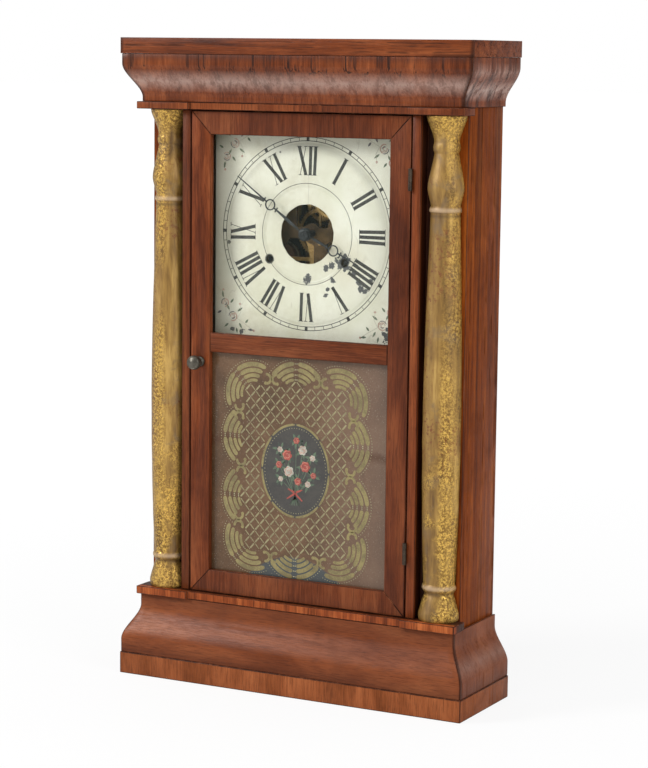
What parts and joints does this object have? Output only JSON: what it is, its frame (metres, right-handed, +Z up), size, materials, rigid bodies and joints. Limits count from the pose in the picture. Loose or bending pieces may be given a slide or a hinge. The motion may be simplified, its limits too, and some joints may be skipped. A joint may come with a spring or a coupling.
{
  "type": "shelf clock",
  "caption": "Column and cornice weight-driven shelf clock: ogee cornice and base, gilt half-columns, two-glass door, painted dial, strike movement, pendulum, weights, coil gong.",
  "frame": {"origin": "middle of the base, on the surface that the clock stands on", "axes": "+Z up, -Y towards the viewer (the dial faces -Y), +X to the viewer's right"},
  "size_m": [0.378, 0.112, 0.635],
  "materials": {
    "mahogany": "french polished mahogany veneer, worn",
    "dark_mahogany": "dark stained, worn edges",
    "pine": "bare aged pine",
    "gilt": "aged gilding over gesso, crackled",
    "brass": "dull tarnished brass",
    "steel": "aged steel",
    "iron": "blackened iron",
    "dial_paint": "cream painted zinc, aged",
    "clear_glass": "old clear glass",
    "tablet": "glass painted on the back",
    "pewter": "dark turned metal",
    "cord": "twisted linen cord",
    "lead": "dull brass skin"
  },
  "bodies": {
    "case": {"back_board": "pine", "case_side_left": "mahogany", "case_side_right": "mahogany", "bottom_board": "pine", "top_board": "mahogany", "front_stile_left": "mahogany", "front_stile_right": "mahogany", "cornice_ogee_front": "mahogany", "cornice_ogee_left": "mahogany", "cornice_ogee_right": "mahogany", "base_ogee_front": "mahogany", "base_ogee_left": "mahogany", "base_ogee_right": "mahogany", "plinth": "dark_mahogany", "column_shelf": "mahogany", "capital_shelf": "mahogany", "half_column_left": "gilt", "half_column_right": "gilt", "dial_plate": "dial_paint", "weight_partition_left": "pine", "weight_partition_right": "pine", "front_plate": "brass", "back_plate": "brass", "coil_gong": "iron", "upper_hinge_frame_leaf": "steel", "lower_hinge_frame_leaf": "steel", "time_cord": "cord", "strike_cord": "cord"},
    "door": {"door_stile_left": "mahogany", "door_stile_right": "mahogany", "door_rail_top": "mahogany", "door_rail_middle": "mahogany", "door_rail_bottom": "mahogany", "door_glass_upper": "clear_glass", "door_tablet_lower": "tablet", "upper_hinge_door_leaf": "steel", "lower_hinge_door_leaf": "steel"},
    "knob": {"door_knob": "pewter"},
    "minute_hand_body": {"minute_hand": "iron"},
    "hour_hand_body": {"hour_hand": "iron"},
    "minute_wheel_body": {"minute_wheel": "brass"},
    "centre_wheel_body": {"centre_wheel": "brass"},
    "third_wheel_body": {"third_wheel": "brass"},
    "escape_wheel_body": {"escape_wheel": "brass"},
    "verge_body": {"verge": "steel"},
    "time_great_wheel_body": {"time_great_wheel": "brass"},
    "time_drum_body": {"time_drum": "brass"},
    "time_weight_body": {"time_weight": "iron"},
    "time_pulley_body": {"time_pulley": "dark_mahogany"},
    "strike_great_wheel_body": {"strike_great_wheel": "brass"},
    "pin_wheel_body": {"pin_wheel": "brass"},
    "warning_wheel_body": {"warning_wheel": "brass"},
    "fly_body": {"fly": "brass"},
    "count_wheel_body": {"count_wheel": "brass"},
    "hammer_body": {"hammer": "steel"},
    "strike_drum_body": {"strike_drum": "brass"},
    "strike_weight_body": {"strike_weight": "iron"},
    "strike_pulley_body": {"strike_pulley": "dark_mahogany"},
    "pendulum": {"pendulum_rod": "steel", "pendulum_bob": "lead"}
  },
  "joints": [
    {"name": "door_swing", "type": "hinge", "parent": "case", "child": "door", "pos_m": [0.1194, -0.0375, 0.3273], "axis": [0, 0, 1], "range_deg": [0, 120]},
    {"name": "knob_turn", "type": "hinge", "parent": "door", "child": "knob", "pos_m": [-0.1079, -0.03, 0.32], "axis": [0, -1, 0], "range_deg": [0, 90]},
    {"name": "minute_hand_turn", "type": "hinge", "parent": "case", "child": "minute_hand_body", "pos_m": [0, -0.012, 0.4487], "axis": [0, 1, 0], "continuous": true},
    {"name": "hour_hand_turn", "type": "hinge", "parent": "case", "child": "hour_hand_body", "pos_m": [0, -0.012, 0.4487], "axis": [0, 1, 0], "continuous": true},
    {"name": "minute_wheel_turn", "type": "hinge", "parent": "case", "child": "minute_wheel_body", "pos_m": [0.00823, -0.003, 0.43889], "axis": [0, 1, 0], "continuous": true},
    {"name": "third_wheel_turn", "type": "hinge", "parent": "case", "child": "third_wheel_body", "pos_m": [-0.00245, 0.01, 0.47559], "axis": [0, 1, 0], "continuous": true},
    {"name": "centre_wheel_turn", "type": "hinge", "parent": "case", "child": "centre_wheel_body", "pos_m": [0, 0.01, 0.4487], "axis": [0, 1, 0], "continuous": true},
    {"name": "time_great_wheel_turn", "type": "hinge", "parent": "case", "child": "time_great_wheel_body", "pos_m": [0.041, 0.01, 0.4231], "axis": [0, 1, 0], "continuous": true},
    {"name": "escape_wheel_turn", "type": "hinge", "parent": "case", "child": "escape_wheel_body", "pos_m": [0.016, 0.01, 0.47971], "axis": [0, 1, 0], "continuous": true},
    {"name": "pendulum_swing", "type": "hinge", "parent": "case", "child": "pendulum", "pos_m": [0, 0.036, 0.5107], "axis": [0, 1, 0], "range_deg": [-3, 3]},
    {"name": "verge_rock", "type": "hinge", "parent": "case", "child": "verge_body", "pos_m": [0, 0.01, 0.4947], "axis": [0, 1, 0], "range_deg": [-4.3, 4.3]},
    {"name": "pin_wheel_turn", "type": "hinge", "parent": "case", "child": "pin_wheel_body", "pos_m": [-0.04521, 0.01, 0.47125], "axis": [0, 1, 0], "continuous": true},
    {"name": "strike_great_wheel_turn", "type": "hinge", "parent": "case", "child": "strike_great_wheel_body", "pos_m": [-0.041, 0.01, 0.4231], "axis": [0, 1, 0], "continuous": true},
    {"name": "warning_wheel_turn", "type": "hinge", "parent": "case", "child": "warning_wheel_body", "pos_m": [-0.03214, 0.01, 0.49138], "axis": [0, 1, 0], "continuous": true},
    {"name": "fly_turn", "type": "hinge", "parent": "case", "child": "fly_body", "pos_m": [-0.04927, 0.01, 0.49937], "axis": [0, 1, 0], "continuous": true},
    {"name": "count_wheel_turn", "type": "hinge", "parent": "case", "child": "count_wheel_body", "pos_m": [-0.046, -0.007, 0.4607], "axis": [0, 1, 0], "continuous": true},
    {"name": "hammer_lift", "type": "hinge", "parent": "case", "child": "hammer_body", "pos_m": [-0.016, 0.01, 0.3817], "axis": [0, 1, 0], "range_deg": [0, 10]},
    {"name": "time_weight_fall", "type": "slide", "parent": "case", "child": "time_weight_body", "axis": [0, 0, 1], "range_m": [0, 0.36], "deforming": ["time_cord"]},
    {"name": "time_drum_turn", "type": "hinge", "parent": "case", "child": "time_drum_body", "pos_m": [0.041, 0.01, 0.4231], "axis": [0, 1, 0], "range_deg": [0, 1350.1]},
    {"name": "time_pulley_turn", "type": "hinge", "parent": "case", "child": "time_pulley_body", "pos_m": [0.111, 0.012, 0.5981], "axis": [0, 1, 0], "range_deg": [-1194.3, 0]},
    {"name": "strike_weight_fall", "type": "slide", "parent": "case", "child": "strike_weight_body", "axis": [0, 0, 1], "range_m": [0, 0.36], "deforming": ["strike_cord"]},
    {"name": "strike_drum_turn", "type": "hinge", "parent": "case", "child": "strike_drum_body", "pos_m": [-0.041, 0.01, 0.4231], "axis": [0, 1, 0], "range_deg": [-1350.1, 0]},
    {"name": "strike_pulley_turn", "type": "hinge", "parent": "case", "child": "strike_pulley_body", "pos_m": [-0.111, 0.012, 0.5981], "axis": [0, 1, 0], "range_deg": [0, 1194.3]}
  ],
  "couplings": [
    {"joint": "hour_hand_turn", "follows": "minute_hand_turn", "ratio": 0.083333},
    {"joint": "minute_wheel_turn", "follows": "minute_hand_turn", "ratio": -0.33333},
    {"joint": "centre_wheel_turn", "follows": "third_wheel_turn", "ratio": -0.11111},
    {"joint": "time_great_wheel_turn", "follows": "third_wheel_turn", "ratio": 0.014815},
    {"joint": "escape_wheel_turn", "follows": "third_wheel_turn", "ratio": -8},
    {"joint": "verge_rock", "follows": "pendulum_swing", "ratio": 1.4},
    {"joint": "strike_great_wheel_turn", "follows": "pin_wheel_turn", "ratio": -0.13333},
    {"joint": "warning_wheel_turn", "follows": "pin_wheel_turn", "ratio": -9},
    {"joint": "fly_turn", "follows": "pin_wheel_turn", "ratio": 72},
    {"joint": "count_wheel_turn", "follows": "pin_wheel_turn", "ratio": -0.10256},
    {"joint": "time_drum_turn", "follows": "time_weight_fall", "rad_per_m": 65.359},
    {"joint": "time_pulley_turn", "follows": "time_weight_fall", "rad_per_m": -57.803},
    {"joint": "strike_drum_turn", "follows": "strike_weight_fall", "rad_per_m": -65.359},
    {"joint": "strike_pulley_turn", "follows": "strike_weight_fall", "rad_per_m": 57.803}
  ]
}
